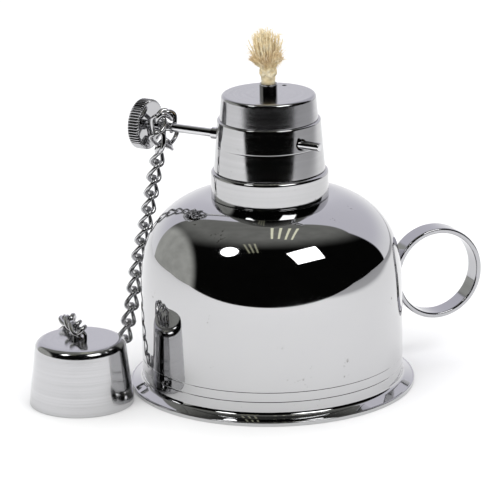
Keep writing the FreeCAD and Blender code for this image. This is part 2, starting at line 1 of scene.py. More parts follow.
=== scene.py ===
# %% [markdown]
# # A chromed spirit lamp
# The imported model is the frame: every CAD piece comes in at its real place, in metres.
# This lesson gives the metal its finish and rebuilds the pieces whose shape has to be finer
# than the frame's: the mirror-bright turned parts, the twisted chain and the frayed wick.

# %% Load the frame
import math
import random

import bmesh
import bpy
from mathutils import Matrix, Vector


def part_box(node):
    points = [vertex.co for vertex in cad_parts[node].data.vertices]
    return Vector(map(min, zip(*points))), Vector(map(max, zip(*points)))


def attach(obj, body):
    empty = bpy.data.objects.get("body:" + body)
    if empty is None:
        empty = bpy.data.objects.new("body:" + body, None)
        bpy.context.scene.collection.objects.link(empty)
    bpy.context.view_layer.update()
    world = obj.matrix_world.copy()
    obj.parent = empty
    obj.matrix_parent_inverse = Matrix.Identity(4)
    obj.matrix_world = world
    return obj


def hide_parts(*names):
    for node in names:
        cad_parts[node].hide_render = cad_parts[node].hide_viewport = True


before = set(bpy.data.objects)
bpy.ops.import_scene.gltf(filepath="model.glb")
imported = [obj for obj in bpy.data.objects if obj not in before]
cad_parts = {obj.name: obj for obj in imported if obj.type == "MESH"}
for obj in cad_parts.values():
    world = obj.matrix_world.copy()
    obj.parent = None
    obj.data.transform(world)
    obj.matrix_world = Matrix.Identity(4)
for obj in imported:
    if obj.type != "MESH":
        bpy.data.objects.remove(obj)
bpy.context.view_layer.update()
MM = 0.001

# %% [markdown]
# ## Measures
# A box drawn round each CAD node gives most heights and radii, so they are read from the
# frame and not written a second time. Only curves that a box can't show, such as the radius
# of a shoulder, are written here.


# %% Read the frame's sizes
def low(node):
    """The lowest corner of a CAD node's box."""
    return Vector(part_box(node)[0])


def high(node):
    """The highest corner of a CAD node's box."""
    return Vector(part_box(node)[1])


def box_radius(node):
    """Half the width of a round CAD node's box."""
    return (high(node).x - low(node).x) / 2


SHEET = 0.8
foot_top = high("foot_rim").z
foot_radius = box_radius("foot_rim")
wall_radius = box_radius("tank_bottom") + SHEET * MM
deck = high("tank_shell").z
collar_foot = low("burner_collar").z
collar_top = high("burner_collar").z
sleeve_top = high("burner_sleeve").z
crown_top = high("burner_crown").z
tube_top = high("wick_tube").z
tube_radius = box_radius("wick_tube")
cap_middle = (low("cap_shell") + high("cap_shell")) / 2
cap_middle.z = 0
cap_height = high("cap_shell").z
print("deck", round(deck, 5), "crown top", round(crown_top, 5), "cap", cap_middle)

# %% [markdown]
# ## Shared finishes
# A plated lamp has three small faults that make it look real: a slow waviness left by the
# drawing press, hair-fine scratches from handling, and dull specks where the plating has
# pitted. Each is a node group with named inputs, built once. Turned parts also carry rings
# from the lathe tool, which is a group of its own. A group could be copied by hand into each
# metal, but one group with inputs keeps every metal's faults alike and easy to change.


# %% A helper for node groups
def new_group(name, inputs, outputs):
    """An empty shader group with named value inputs and outputs."""
    group = bpy.data.node_groups.new(name, "ShaderNodeTree")
    for label, value in inputs:
        socket = group.interface.new_socket(label, in_out="INPUT", socket_type="NodeSocketFloat")
        socket.default_value = value
    for label in outputs:
        group.interface.new_socket(label, in_out="OUTPUT", socket_type="NodeSocketFloat")
    return group


# %% A helper that adds nodes to a tree and links them
class Nodes:
    """Adds nodes to a tree and links them, one short call each."""

    def __init__(self, tree):
        """Works on one node tree."""
        self.tree = tree

    def add(self, kind, **settings):
        """A new node of a kind, with its settings."""
        node = self.tree.nodes.new(kind)
        for key, value in settings.items():
            setattr(node, key, value)
        return node

    def link(self, out_socket, in_socket):
        """Joins an output to an input."""
        self.tree.links.new(out_socket, in_socket)

    def math(self, operation, first, second=None, third=None):
        """A sum on sockets or plain numbers."""
        node = self.add("ShaderNodeMath", operation=operation)
        for index, value in enumerate((first, second, third)):
            if value is None:
                continue
            if isinstance(value, (int, float)):
                node.inputs[index].default_value = value
            else:
                self.link(value, node.inputs[index])
        return node.outputs[0]

    def noise(self, coordinates, scale, detail=2.0, roughness=0.5):
        """A noise read at some coordinates."""
        node = self.add("ShaderNodeTexNoise")
        self.link(coordinates, node.inputs["Vector"])
        if isinstance(scale, (int, float)):
            node.inputs["Scale"].default_value = scale
        else:
            self.link(scale, node.inputs["Scale"])
        node.inputs["Detail"].default_value = detail
        node.inputs["Roughness"].default_value = roughness
        return node.outputs["Fac"]

    def ramp(self, value, start, end, low_value=0.0, high_value=1.0):
        """A soft step from one value to another."""
        node = self.add("ShaderNodeMapRange", clamp=True, interpolation_type="SMOOTHSTEP")
        self.link(value, node.inputs["Value"])
        for socket, number in (("From Min", start), ("From Max", end),
                               ("To Min", low_value), ("To Max", high_value)):
            node.inputs[socket].default_value = number
        return node.outputs["Result"]

    def mix(self, factor, first, second):
        """A blend of two colours."""
        node = self.add("ShaderNodeMix", data_type="RGBA")
        for socket, value in ((node.inputs[0], factor), (node.inputs[6], first),
                              (node.inputs[7], second)):
            if isinstance(value, tuple):
                socket.default_value = (*value, 1.0)
            elif isinstance(value, (int, float)):
                socket.default_value = value
            else:
                self.link(value, socket)
        return node.outputs[2]


# %% Plating wear: waviness, scratches and pits
plating = new_group("plating_wear", [("Waviness", 1.0), ("Scratches", 1.0), ("Pits", 1.0)],
                    ["Height", "Dullness", "Stain"])
n = Nodes(plating)
entry = n.add("NodeGroupInput")
leave = n.add("NodeGroupOutput")
place = n.add("ShaderNodeTexCoord").outputs["Object"]
wave = n.noise(place, 55.0, 1.0)
stretched = n.add("ShaderNodeMapping")
stretched.inputs["Scale"].default_value = (1.0, 1.0, 0.12)
stretched.inputs["Rotation"].default_value = (0.35, 0.5, 0.2)
n.link(place, stretched.inputs["Vector"])
hair = n.noise(stretched.outputs["Vector"], 2600.0, 3.0, 0.6)
scratch = n.ramp(hair, 0.66, 0.74)
patches = n.noise(place, 150.0, 3.0, 0.65)
specks = n.noise(place, 900.0, 2.0, 0.6)
pit = n.math("MULTIPLY", n.ramp(patches, 0.62, 0.72), n.ramp(specks, 0.56, 0.66))
height = n.math("MULTIPLY", wave, entry.outputs["Waviness"])
scratch = n.math("MULTIPLY", scratch, entry.outputs["Scratches"])
pit = n.math("MULTIPLY", pit, entry.outputs["Pits"])
height = n.math("MULTIPLY_ADD", scratch, -0.02, height)
height = n.math("MULTIPLY_ADD", pit, -0.15, height)
n.link(height, leave.inputs["Height"])
smear = n.ramp(n.noise(place, 38.0, 4.0, 0.6), 0.42, 0.72)
dull = n.math("MULTIPLY_ADD", scratch, 0.5, n.math("MULTIPLY", smear, 0.35))
n.link(n.math("ADD", pit, dull), leave.inputs["Dullness"])
n.link(pit, leave.inputs["Stain"])
print("plating_wear nodes", len(plating.nodes))

# %% [markdown]
# A lathe tool leaves grooves round the axis. Their place on the part is the distance out from
# the axis plus the height, so that they run on over a corner. A noise read along that number,
# and only very slowly round the axis, gives rings that never quite repeat, which plain waves
# would do.

# %% Lathe rings: fine grooves that run round the axis of a turned part
rings = new_group("lathe_rings", [("Rings per metre", 9000.0), ("Streak", 0.5),
                                  ("Middle X", 0.0), ("Middle Y", 0.0)],
                  ["Height", "Streaks"])
n = Nodes(rings)
entry = n.add("NodeGroupInput")
leave = n.add("NodeGroupOutput")
place = n.add("ShaderNodeTexCoord").outputs["Object"]
split = n.add("ShaderNodeSeparateXYZ")
n.link(place, split.inputs[0])
across = n.math("SUBTRACT", split.outputs["X"], entry.outputs["Middle X"])
away = n.math("SUBTRACT", split.outputs["Y"], entry.outputs["Middle Y"])
square = n.math("MULTIPLY_ADD", across, across, n.math("MULTIPLY", away, away))
reach = n.math("SQRT", square)
along = n.math("ADD", reach, split.outputs["Z"])
turn = n.math("ARCTAN2", away, across)
line = n.add("ShaderNodeCombineXYZ")
n.link(n.math("MULTIPLY", along, entry.outputs["Rings per metre"]), line.inputs["X"])
n.link(n.math("MULTIPLY", turn, entry.outputs["Streak"]), line.inputs["Y"])
n.link(n.noise(line.outputs[0], 1.0, 4.0, 0.7), leave.inputs["Height"])
broad = n.add("ShaderNodeVectorMath", operation="SCALE")
n.link(line.outputs[0], broad.inputs[0])
broad.inputs["Scale"].default_value = 0.22
n.link(n.noise(broad.outputs[0], 1.0, 2.0, 0.5), leave.inputs["Streaks"])
print("lathe_rings nodes", len(rings.nodes))


# %% [markdown]
# ## Metals
# Every metal here is the same recipe with its own numbers: a tint, a lowest and a highest
# roughness, and how strongly the plating's faults and the lathe's rings show. A recipe is
# better than a material drawn for each piece, since the pieces were plated in one bath.


# %% Make a metal
GROOVE_SHADE = 0.8


def metal(name, tint, stain, smooth, rough, waviness=1.0, scratches=1.0, pits=1.0,
          ring_depth=0.0, ring_count=9000.0, streak=0.5, depth=0.02, middle=(0.0, 0.0)):
    """A worn metal; depths are in millimetres, and the middle is the lathe's axis."""
    material = bpy.data.materials.new(name)
    material.use_nodes = True
    n = Nodes(material.node_tree)
    shader = material.node_tree.nodes["Principled BSDF"]
    shader.inputs["Metallic"].default_value = 1.0
    wear = n.add("ShaderNodeGroup", node_tree=plating)
    wear.inputs["Waviness"].default_value = waviness
    wear.inputs["Scratches"].default_value = scratches
    wear.inputs["Pits"].default_value = pits
    spread = rough - smooth
    level = n.math("MULTIPLY_ADD", wear.outputs["Dullness"], spread, smooth)
    colour = n.mix(wear.outputs["Stain"], tint, stain)
    bump = n.add("ShaderNodeBump")
    bump.inputs["Strength"].default_value = 1.0
    bump.inputs["Distance"].default_value = depth * MM
    n.link(wear.outputs["Height"], bump.inputs["Height"])
    if ring_depth:
        lathe = n.add("ShaderNodeGroup", node_tree=rings)
        lathe.inputs["Rings per metre"].default_value = ring_count
        lathe.inputs["Streak"].default_value = streak
        lathe.inputs["Middle X"].default_value = middle[0]
        lathe.inputs["Middle Y"].default_value = middle[1]
        grooves = n.add("ShaderNodeBump")
        grooves.inputs["Strength"].default_value = 1.0
        grooves.inputs["Distance"].default_value = ring_depth * MM
        n.link(lathe.outputs["Height"], grooves.inputs["Height"])
        n.link(bump.outputs["Normal"], grooves.inputs["Normal"])
        bump = grooves
        level = n.math("MULTIPLY_ADD", lathe.outputs["Streaks"], spread, level)
        darker = tuple(channel * GROOVE_SHADE for channel in tint)
        colour = n.mix(lathe.outputs["Streaks"], colour, darker)
    n.link(colour, shader.inputs["Base Color"])
    n.link(level, shader.inputs["Roughness"])
    n.link(bump.outputs["Normal"], shader.inputs["Normal"])
    return material


# %% The lamp's metals
CHROME = (0.52, 0.52, 0.526)
TARNISH = (0.20, 0.19, 0.18)
tank_chrome = metal("tank_chrome", CHROME, TARNISH, 0.025, 0.12, waviness=0.8)
burner_chrome = metal("burner_chrome", (0.53, 0.53, 0.535), TARNISH, 0.02, 0.10,
                      ring_depth=0.0016, ring_count=4000.0)
band_chrome = metal("band_chrome", (0.45, 0.45, 0.465), TARNISH, 0.05, 0.2, pits=0.4)
foot_chrome = metal("foot_chrome", CHROME, TARNISH, 0.03, 0.14)
tube_chrome = metal("tube_chrome", (0.36, 0.36, 0.36), TARNISH, 0.05, 0.2)
crown_brushed = metal("crown_brushed", (0.50, 0.50, 0.512), TARNISH, 0.09, 0.2,
                      ring_depth=0.004, ring_count=6000.0, pits=0.2)
cap_satin = metal("cap_satin", (0.58, 0.58, 0.59), TARNISH, 0.05, 0.20,
                  ring_depth=0.0009, ring_count=7000.0, pits=0.3,
                  middle=(cap_middle.x, cap_middle.y))
knob_chrome = metal("knob_chrome", (0.47, 0.47, 0.48), TARNISH, 0.05, 0.16, pits=0.5)
rod_steel = metal("rod_steel", (0.62, 0.62, 0.63), TARNISH, 0.06, 0.2)
chain_chrome = metal("chain_chrome", (0.52, 0.52, 0.53), TARNISH, 0.08, 0.25)
turned_brass = metal("turned_brass", (0.76, 0.55, 0.24), (0.24, 0.15, 0.06), 0.14, 0.34,
                     ring_depth=0.003)
soft_solder = metal("soft_solder", (0.50, 0.50, 0.50), TARNISH, 0.3, 0.5, waviness=4.0)
print("materials so far", len(bpy.data.materials))

# %% [markdown]
# The gasket in the neck is black rubber. Old rubber has a grey bloom on it, which is a noise
# that lightens the colour and dulls the surface in the same places.


# %% Black rubber for the gasket in the neck
def rubber(name):
    """Black rubber with a grey bloom."""
    material = bpy.data.materials.new(name)
    material.use_nodes = True
    n = Nodes(material.node_tree)
    shader = material.node_tree.nodes["Principled BSDF"]
    place = n.add("ShaderNodeTexCoord").outputs["Object"]
    bloom = n.ramp(n.noise(place, 400.0, 3.0), 0.45, 0.75)
    n.link(n.mix(bloom, (0.018, 0.018, 0.019), (0.06, 0.058, 0.055)), shader.inputs["Base Color"])
    n.link(n.ramp(bloom, 0.0, 1.0, 0.55, 0.85), shader.inputs["Roughness"])
    bump = n.add("ShaderNodeBump")
    bump.inputs["Distance"].default_value = 0.02 * MM
    n.link(n.noise(place, 3000.0, 2.0), bump.inputs["Height"])
    n.link(bump.outputs["Normal"], shader.inputs["Normal"])
    return material


neck_rubber = rubber("neck_rubber")
print("rubber", neck_rubber.name)

# %% [markdown]
# Every CAD node gets its finish now. Those with a finer piece below are hidden by it, and
# the rest, such as the wheel and its housing inside the burner, are seen only when the lamp
# is taken apart.

# %% Put a finish on every CAD node
FINISHES = {
    "tank_shell": tank_chrome, "foot_rim": tank_chrome, "tank_bottom": tank_chrome,
    "neck_ring": turned_brass, "neck_gasket": neck_rubber, "handle_ring": band_chrome,
    "handle_solder": soft_solder,
    "burner_collar": burner_chrome, "burner_plate": turned_brass,
    "burner_sleeve": burner_chrome, "burner_crown": crown_brushed, "wick_tube": rod_steel,
    "wheel_housing": turned_brass, "shaft_bush": rod_steel, "chain_loop": chain_chrome,
    "raiser_shaft": rod_steel, "adjuster_knob": knob_chrome, "wick_wheel": turned_brass,
    "stop_rings": turned_brass, "hanging_chain": chain_chrome, "cap_chain": chain_chrome,
    "cap_shell": cap_satin, "staple_washer": turned_brass, "cap_staple": chain_chrome,
}


def wear_material(piece, material):
    """Gives a piece one material and no other."""
    piece.data.materials.clear()
    piece.data.materials.append(material)


for node, finish in FINISHES.items():
    wear_material(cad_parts[node], finish)
print("finished nodes", len(FINISHES))

# %% [markdown]
# ## Turned pieces
# Nearly every part of the lamp is round: it was spun or pressed from sheet. Each is made
# the same way here. A single point is extruded along the piece's outline, and the outline
# is spun round its axis. A fine outline matters for chrome, since a mirror shows every flat.
# Casting a solid and cutting it would give the same shape but a poorer mesh.


# %% Outlines with round corners
def rounded(corners, steps=8):
    """Replaces each (radius, height, fillet) corner by points on an arc."""
    points = []
    count = len(corners)
    for index, corner in enumerate(corners):
        here = Vector(corner[:2])
        fillet = corner[2] if len(corner) > 2 else 0.0
        if not fillet:
            points.append(here)
            continue
        before = (Vector(corners[index - 1][:2]) - here).normalized()
        after = (Vector(corners[(index + 1) % count][:2]) - here).normalized()
        half = before.angle(after) / 2
        middle = here + (before + after).normalized() * (fillet / math.sin(half))
        first = here + before * (fillet / math.tan(half)) - middle
        sweep = first.angle_signed(here + after * (fillet / math.tan(half)) - middle)
        for step in range(steps + 1):
            turned_arm = first.copy()
            turned_arm.rotate(Matrix.Rotation(-sweep * step / steps, 2))
            points.append(middle + turned_arm)
    return points


def arc(centre, radius, start, end, steps):
    """Points on an arc, from one angle to another in degrees."""
    points = []
    for step in range(steps + 1):
        angle = math.radians(start + (end - start) * step / steps)
        points.append(Vector((centre[0] + radius * math.cos(angle),
                              centre[1] + radius * math.sin(angle))))
    return points


print("corner points", len(rounded([(0.0, 0.0), (1.0, 0.0, 0.2), (1.0, 1.0)])))


# %% Points that hold a straight stretch straight
LONG_RUN = 1.5


def held(points, closed, margin=0.12):
    """Adds a point near each end of a long straight, so that smooth shading stays flat on it."""
    if closed:
        points = points + [points[0].copy()]
    result = [points[0]]
    for start, end in zip(points, points[1:]):
        run = end - start
        if run.length > LONG_RUN:
            step = run.normalized() * margin
            result += [start + step, end - step]
        result.append(end)
    return result


print("held points", len(held([Vector((0.0, 0.0)), Vector((2.0, 0.0))], closed=False)))


# %% Spin an outline
def spun(name, outline, steps=192, closed=True):
    """Extrudes a point along an outline given in millimetres, then spins it round Z."""
    points = held([Vector(p) for p in outline], closed)
    bpy.ops.object.select_all(action="DESELECT")
    bpy.ops.mesh.primitive_plane_add(size=MM)
    piece = bpy.context.object
    piece.name = name
    piece.data.name = name
    bpy.ops.object.mode_set(mode="EDIT")
    bpy.ops.mesh.select_all(action="SELECT")
    bpy.ops.mesh.merge(type="CENTER")
    bpy.ops.transform.translate(value=(points[0].x * MM, 0.0, points[0].y * MM))
    for start, end in zip(points, points[1:]):
        step = ((end.x - start.x) * MM, 0.0, (end.y - start.y) * MM)
        bpy.ops.mesh.extrude_region_move(TRANSFORM_OT_translate={"value": step})
    bpy.ops.mesh.select_all(action="SELECT")
    bpy.ops.mesh.spin(steps=steps, angle=math.tau, center=(0.0, 0.0, 0.0), axis=(0.0, 0.0, 1.0))
    bpy.ops.mesh.select_all(action="SELECT")
    bpy.ops.mesh.remove_doubles(threshold=0.002 * MM)
    bpy.ops.mesh.normals_make_consistent(inside=False)
    bpy.ops.object.mode_set(mode="OBJECT")
    return piece


# %% Finish a piece: smooth it, give it its metal and its place in the frame
def settle(piece, material, body, node, angle=32.0):
    """Smooths a piece up to an edge angle, then sets its metal and body and hides its CAD node."""
    bpy.ops.object.select_all(action="DESELECT")
    bpy.context.view_layer.objects.active = piece
    piece.select_set(True)
    bpy.ops.object.shade_smooth_by_angle(angle=math.radians(angle))
    wear_material(piece, material)
    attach(piece, body)
    if node:
        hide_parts(node)
    print(piece.name, "faces", len(piece.data.polygons))
    return piece


def lay_along(piece, matrix):
    """Moves a piece's mesh by a matrix, so that the object itself stays unturned."""
    piece.data.transform(matrix)
    piece.data.update()


# %% [markdown]
# ### The tank
# The wall runs straight up, leans into a wide shoulder and then into a tighter curve that
# ends flat at the deck. Two hair-thin lines near the foot are left by the spinning tool.
# The sheet has a true thickness, since the filler neck shows its edge. At the foot a small
# turn leads to a shallow flare: the turn packs the whole dark front of the room into one
# thin line, and the flare mirrors the pale backdrop.

# %% The tank's curves
SHOULDER = 52.4
LEAN = 12.3
DOME = 19.70
FLAT_REACH = 16.25
NECK = 12.9
WALL_TOP = 27.6
FLARE_TURN = 1.2
FLARE_SLOPE = 24.0
TURN_FROM = 261.0 - FLARE_SLOPE
FLARE_SAG = 0.03
LOWER_LINE = 5.9
UPPER_LINE = 8.6
wall = wall_radius / MM
deck_up = deck / MM
foot_up = foot_top / MM
hub = wall - SHOULDER
flare_reach = box_radius("tank_shell") / MM - wall
slope = math.radians(FLARE_SLOPE)
cone_in = FLARE_TURN * (1 - math.sin(slope))
turn_up = foot_up + (flare_reach - cone_in) * math.tan(slope) + FLARE_TURN * math.cos(slope)


def sagged(start, end, sag, steps=10):
    """Points from start to end on a line that sags towards the lamp's axis."""
    run = end - start
    inward = Vector((-run.y, run.x)).normalized()
    points = []
    for step in range(steps):
        part = step / steps
        points.append(start + run * part + inward * (4 * sag * part * (1 - part)))
    return points


def tool_line(height, cut=0.05, half_width=0.11):
    """A shallow groove round the wall."""
    return [(wall, height - half_width), (wall - cut, height), (wall, height + half_width)]


print("turn ends at", round(turn_up, 2), "flare reach", round(flare_reach, 2))

# %% Tank shell
outline = [(wall - SHEET, foot_up)]
turn_points = arc((wall + FLARE_TURN, turn_up), FLARE_TURN, TURN_FROM, 180, 12)
rim = Vector((wall + flare_reach, foot_up))
outline += sagged(rim, turn_points[0], FLARE_SAG) + turn_points
outline += tool_line(LOWER_LINE) + tool_line(UPPER_LINE)
outline += arc((hub, WALL_TOP), SHOULDER, 0, LEAN, 14)
outline += arc((FLAT_REACH, deck_up - DOME), DOME, LEAN, 90, 40)[1:]
outline += [(NECK, deck_up), (NECK, deck_up - SHEET)]
outline += arc((FLAT_REACH, deck_up - DOME), DOME - SHEET, 90, LEAN, 24)
outline += arc((hub, WALL_TOP), SHOULDER - SHEET, LEAN, 0, 10)[1:]
tank = spun("tank_shell_fine", outline, 256)
settle(tank, tank_chrome, "tank", "tank_shell", 40.0)

# %% [markdown]
# The foot ring is a flat hoop under the flare. Its upright edge mirrors the table and gives
# the bright line round the bottom of the lamp, and its broken corner gives the dark one.

# %% Foot ring
foot = foot_radius / MM
inner_foot = wall - SHEET
outline = rounded([(inner_foot, 0.0), (foot, 0.0, 0.12), (foot, foot_up, 0.3),
                   (inner_foot, foot_up)], 6)
settle(spun("foot_rim_fine", outline, 256), foot_chrome, "tank", "foot_rim", 40.0)

# %% [markdown]
# ### The finger ring
# A flat band bent to a circle, with its edges broken by polishing. It is spun flat and then
# stood up at the side of the tank, facing the way the frame's ring faces.

# %% Finger ring
ring_low = low("handle_ring")
ring_high = high("handle_ring")
ring_middle = (ring_low + ring_high) / 2
ring_outer = (ring_high.z - ring_low.z) / 2 / MM
ring_turn = math.atan2(ring_middle.y, ring_middle.x)
BAND = 1.46
BAND_WIDTH = 6.26
BAND_EDGE = 0.5
half_band = BAND_WIDTH / 2
outline = rounded([(ring_outer - BAND, -half_band, BAND_EDGE), (ring_outer, -half_band, BAND_EDGE),
                   (ring_outer, half_band, BAND_EDGE), (ring_outer - BAND, half_band, BAND_EDGE)], 6)
finger_ring = spun("handle_ring_fine", outline, 192)
lay_along(finger_ring, Matrix.Translation(ring_middle) @ Matrix.Rotation(ring_turn, 4, "Z")
          @ Matrix.Rotation(math.pi / 2, 4, "X"))
settle(finger_ring, band_chrome, "tank", "handle_ring", 32.0)

# %% [markdown]
# ### The burner
# A collar screws down on the neck. A tapering sleeve stands on it, and a smaller crown
# closes the top. All three are turned from bar, so their corners are small and crisp.

# %% Burner collar
BURNER_SHEET = 0.7
COLLAR_BORE = 13.1
COLLAR_HOLE = 10.4
outer = box_radius("burner_collar") / MM
foot_z = collar_foot / MM
top_z = collar_top / MM
outline = rounded([(COLLAR_BORE, foot_z), (outer, foot_z, 0.25), (outer, top_z, 0.85),
                   (COLLAR_HOLE, top_z), (COLLAR_HOLE, top_z - BURNER_SHEET),
                   (COLLAR_BORE, top_z - BURNER_SHEET)], 8)
settle(spun("burner_collar_fine", outline), burner_chrome, "burner", "burner_collar", 40.0)

# %% Burner sleeve, with a faint lathe step half way up and a rounded ledge at the top
foot_z = collar_top / MM
top_z = sleeve_top / MM
SLEEVE_FOOT = 15.5
SLEEVE_TOP = 14.4
SLEEVE_MOUTH = 12.8
STEP_HEIGHT = 7.6
BROKEN_CORNER = 0.35
taper = (SLEEVE_FOOT - SLEEVE_TOP) / (top_z - foot_z)
middle_z = foot_z + STEP_HEIGHT


def sleeve_reach(height):
    """The tapering sleeve's radius at a height."""
    return SLEEVE_FOOT - taper * (height - foot_z)


outline = [(SLEEVE_FOOT - BURNER_SHEET, foot_z), (SLEEVE_FOOT - BROKEN_CORNER, foot_z),
           (SLEEVE_FOOT, foot_z + BROKEN_CORNER)]
outline += [(sleeve_reach(middle_z - 0.1), middle_z - 0.1),
            (sleeve_reach(middle_z) - 0.02, middle_z),
            (sleeve_reach(middle_z + 0.1), middle_z + 0.1)]
outline += rounded([(sleeve_reach(foot_z + 1), foot_z + 1), (SLEEVE_TOP, top_z, 0.45),
                    (SLEEVE_MOUTH, top_z)], 8)[1:]
outline += [(SLEEVE_MOUTH, top_z - BURNER_SHEET), (SLEEVE_TOP - BURNER_SHEET, top_z - BURNER_SHEET)]
sleeve = spun("burner_sleeve_fine", outline)
print("sleeve taper", round(taper, 4))

# %% [markdown]
# The raiser's rod passes through the sleeve a little to the front of the axis. Its two holes
# could be cut as loops in the sleeve's faces, but a round hole meets a taper in a curve that
# no row of faces follows. So both are bored with one long bar and a boolean, as a drill does.

# %% The rod's line, and the holes for it
ROD_BEARING = math.radians(-30.0)
ROD_OFFSET = 5.8
HOLE = 1.65
BORE_REACH = 30.0
rod_way = Vector((math.cos(ROD_BEARING), math.sin(ROD_BEARING), 0.0))
rod_aside = Vector((math.sin(ROD_BEARING), -math.cos(ROD_BEARING), 0.0))
rod_up = (low("raiser_shaft").z + high("raiser_shaft").z) / 2
rod_middle = rod_aside * ROD_OFFSET * MM
rod_middle.z = rod_up
rod_frame = Matrix.Translation(rod_middle) @ rod_way.to_track_quat("Z", "Y").to_matrix().to_4x4()


def bored(piece, tool):
    """Cuts the tool out of the piece and removes the tool."""
    bpy.ops.object.select_all(action="DESELECT")
    bpy.context.view_layer.objects.active = piece
    piece.select_set(True)
    cut = piece.modifiers.new("bore", "BOOLEAN")
    cut.object = tool
    cut.operation = "DIFFERENCE"
    cut.solver = "EXACT"
    bpy.ops.object.modifier_apply(modifier=cut.name)
    bpy.data.objects.remove(tool)


bore = spun("bore", [(0.0, -BORE_REACH), (HOLE, -BORE_REACH), (HOLE, BORE_REACH),
                     (0.0, BORE_REACH)], 48, closed=False)
lay_along(bore, rod_frame)
bored(sleeve, bore)
settle(sleeve, burner_chrome, "burner", "burner_sleeve", 32.0)

# %% [markdown]
# The crown closes the burner. Air has to follow the spirit down as it burns away, so a small
# hole is drilled near the crown's edge. The spun outline has the side and top in one, and
# the hole is cut with the same boolean as before.

# %% Crown, with its air hole
CROWN_FOOT = 13.7
CROWN_TOP = 13.12
CROWN_BORE = 12.9
CROWN_INNER_TOP = 12.45
AIR_HOLE = 0.65
AIR_HOLE_REACH = 9.8
AIR_HOLE_BEARING = math.radians(63.0)
DRILL_REACH = 3.0
foot_z = sleeve_top / MM
top_z = crown_top / MM
inner_z = top_z - BURNER_SHEET
outline = rounded([(CROWN_BORE, foot_z), (CROWN_FOOT, foot_z, 0.12), (CROWN_TOP, top_z, 0.9),
                   (tube_radius / MM, top_z), (tube_radius / MM, inner_z),
                   (CROWN_INNER_TOP, inner_z, 0.3)], 8)
crown = spun("burner_crown_fine", outline)
drill = spun("drill", [(0.0, top_z - DRILL_REACH), (AIR_HOLE, top_z - DRILL_REACH),
                       (AIR_HOLE, top_z + DRILL_REACH), (0.0, top_z + DRILL_REACH)],
             40, closed=False)
hole_way = Vector((math.cos(AIR_HOLE_BEARING), math.sin(AIR_HOLE_BEARING), 0.0))
lay_along(drill, Matrix.Translation(hole_way * AIR_HOLE_REACH * MM))
bored(crown, drill)
settle(crown, crown_brushed, "burner", "burner_crown", 32.0)

# %% [markdown]
# The wick tube is a short length of drawn tube. Its lip is rounded so that it doesn't cut the
# wick, and a window in its side, deep in the burner, lets the toothed wheel reach the wick. The
# window is a plain block, cut out square to the rod.

# %% Wick tube
TUBE_WALL = 0.45
TUBE_EDGE = 0.2
reach = tube_radius / MM
tube_foot = low("wick_tube").z / MM
tube_lip = tube_top / MM
outline = rounded([(reach - TUBE_WALL, tube_foot), (reach, tube_foot),
                   (reach, tube_lip, TUBE_EDGE), (reach - TUBE_WALL, tube_lip, TUBE_EDGE)], 5)
tube = spun("wick_tube_fine", outline, 96)
print("tube from", round(tube_foot, 2), "to", round(tube_lip, 2))

# %% The wheel's window in the tube
WINDOW = Vector((2.5, 4.015, 5.4))
WINDOW_FROM = 0.985
bpy.ops.object.select_all(action="DESELECT")
bpy.ops.mesh.primitive_cube_add(size=1.0)
window = bpy.context.object
window.scale = WINDOW * MM
bpy.ops.object.transform_apply(location=False, rotation=False, scale=True)
square_on = Matrix((rod_way, -rod_aside, Vector((0.0, 0.0, 1.0)))).transposed().to_4x4()
opening = rod_aside * (WINDOW_FROM + WINDOW.y / 2) * MM + Vector((0.0, 0.0, rod_up))
lay_along(window, Matrix.Translation(opening) @ square_on)
bored(tube, window)
settle(tube, tube_chrome, "burner", "wick_tube", 40.0)

# %% [markdown]
# ### The wick raiser
# A plain rod with a coin-edged knob on its left end. The rod's two ends have their corners
# broken with a file. Both pieces are spun upright and then laid along the rod's line.

# %% Rod, with broken ends
ROD_LOW = -34.9
ROD_HIGH = 19.3
ROD = 1.2
ROD_CORNER = 0.2
outline = rounded([(0.0, ROD_LOW), (ROD, ROD_LOW, ROD_CORNER), (ROD, ROD_HIGH, ROD_CORNER),
                   (0.0, ROD_HIGH)], 4)
rod = spun("raiser_shaft_fine", outline, 64, closed=False)
lay_along(rod, rod_frame)
settle(rod, rod_steel, "raiser", "raiser_shaft", 40.0)

# %% [markdown]
# The knob is a turned blank whose edge is rolled between knurling wheels. The blank is spun
# with six columns of faces to a rib. Then the points of the edge are drawn inwards by a wave
# that repeats once a rib: its crests are broad and its valleys narrow, as a coin's edge is.
# An array of ribs would need joining to the blank, and this needs no joining.

# %% Knob
RIBS = 52
RIB_DEPTH = 0.4
RIB_CREST = 0.6
EDGE_BAND = 0.35
KNOB = 7.1
KNOB_THICK = 3.5
KNOB_EDGE = 0.5
BACK_RINGS = (6.2, 6.0)
knob_face = ROD_LOW - KNOB_THICK
outline = [(0.0, knob_face)]
outline += rounded([(5.0, knob_face), (KNOB, knob_face, KNOB_EDGE),
                    (KNOB, ROD_LOW, KNOB_EDGE), (5.0, ROD_LOW)], 4)[1:-1]
outline += [(ring, ROD_LOW) for ring in BACK_RINGS] + [(0.0, ROD_LOW)]
knob = spun("adjuster_knob_fine", outline, RIBS * 6, closed=False)
for vertex in knob.data.vertices:
    flat = Vector((vertex.co.x, vertex.co.y))
    if flat.length < (KNOB - EDGE_BAND) * MM:
        continue
    phase = (math.atan2(flat.y, flat.x) / math.tau * RIBS) % 1.0
    rib = 0.5 + 0.5 * math.cos(phase * math.tau)
    depth = RIB_DEPTH * MM * (1.0 - rib ** RIB_CREST)
    flat *= (flat.length - depth) / flat.length
    vertex.co.x, vertex.co.y = flat
lay_along(knob, rod_frame)
settle(knob, knob_chrome, "raiser", "adjuster_knob", 50.0)

# %% [markdown]
# ### The cap
# A snuffer cap pressed from sheet. It is spun on the lamp's axis and then moved to where it
# rests on the table. The side is left satin by the lathe, and the rounded corner is polished.

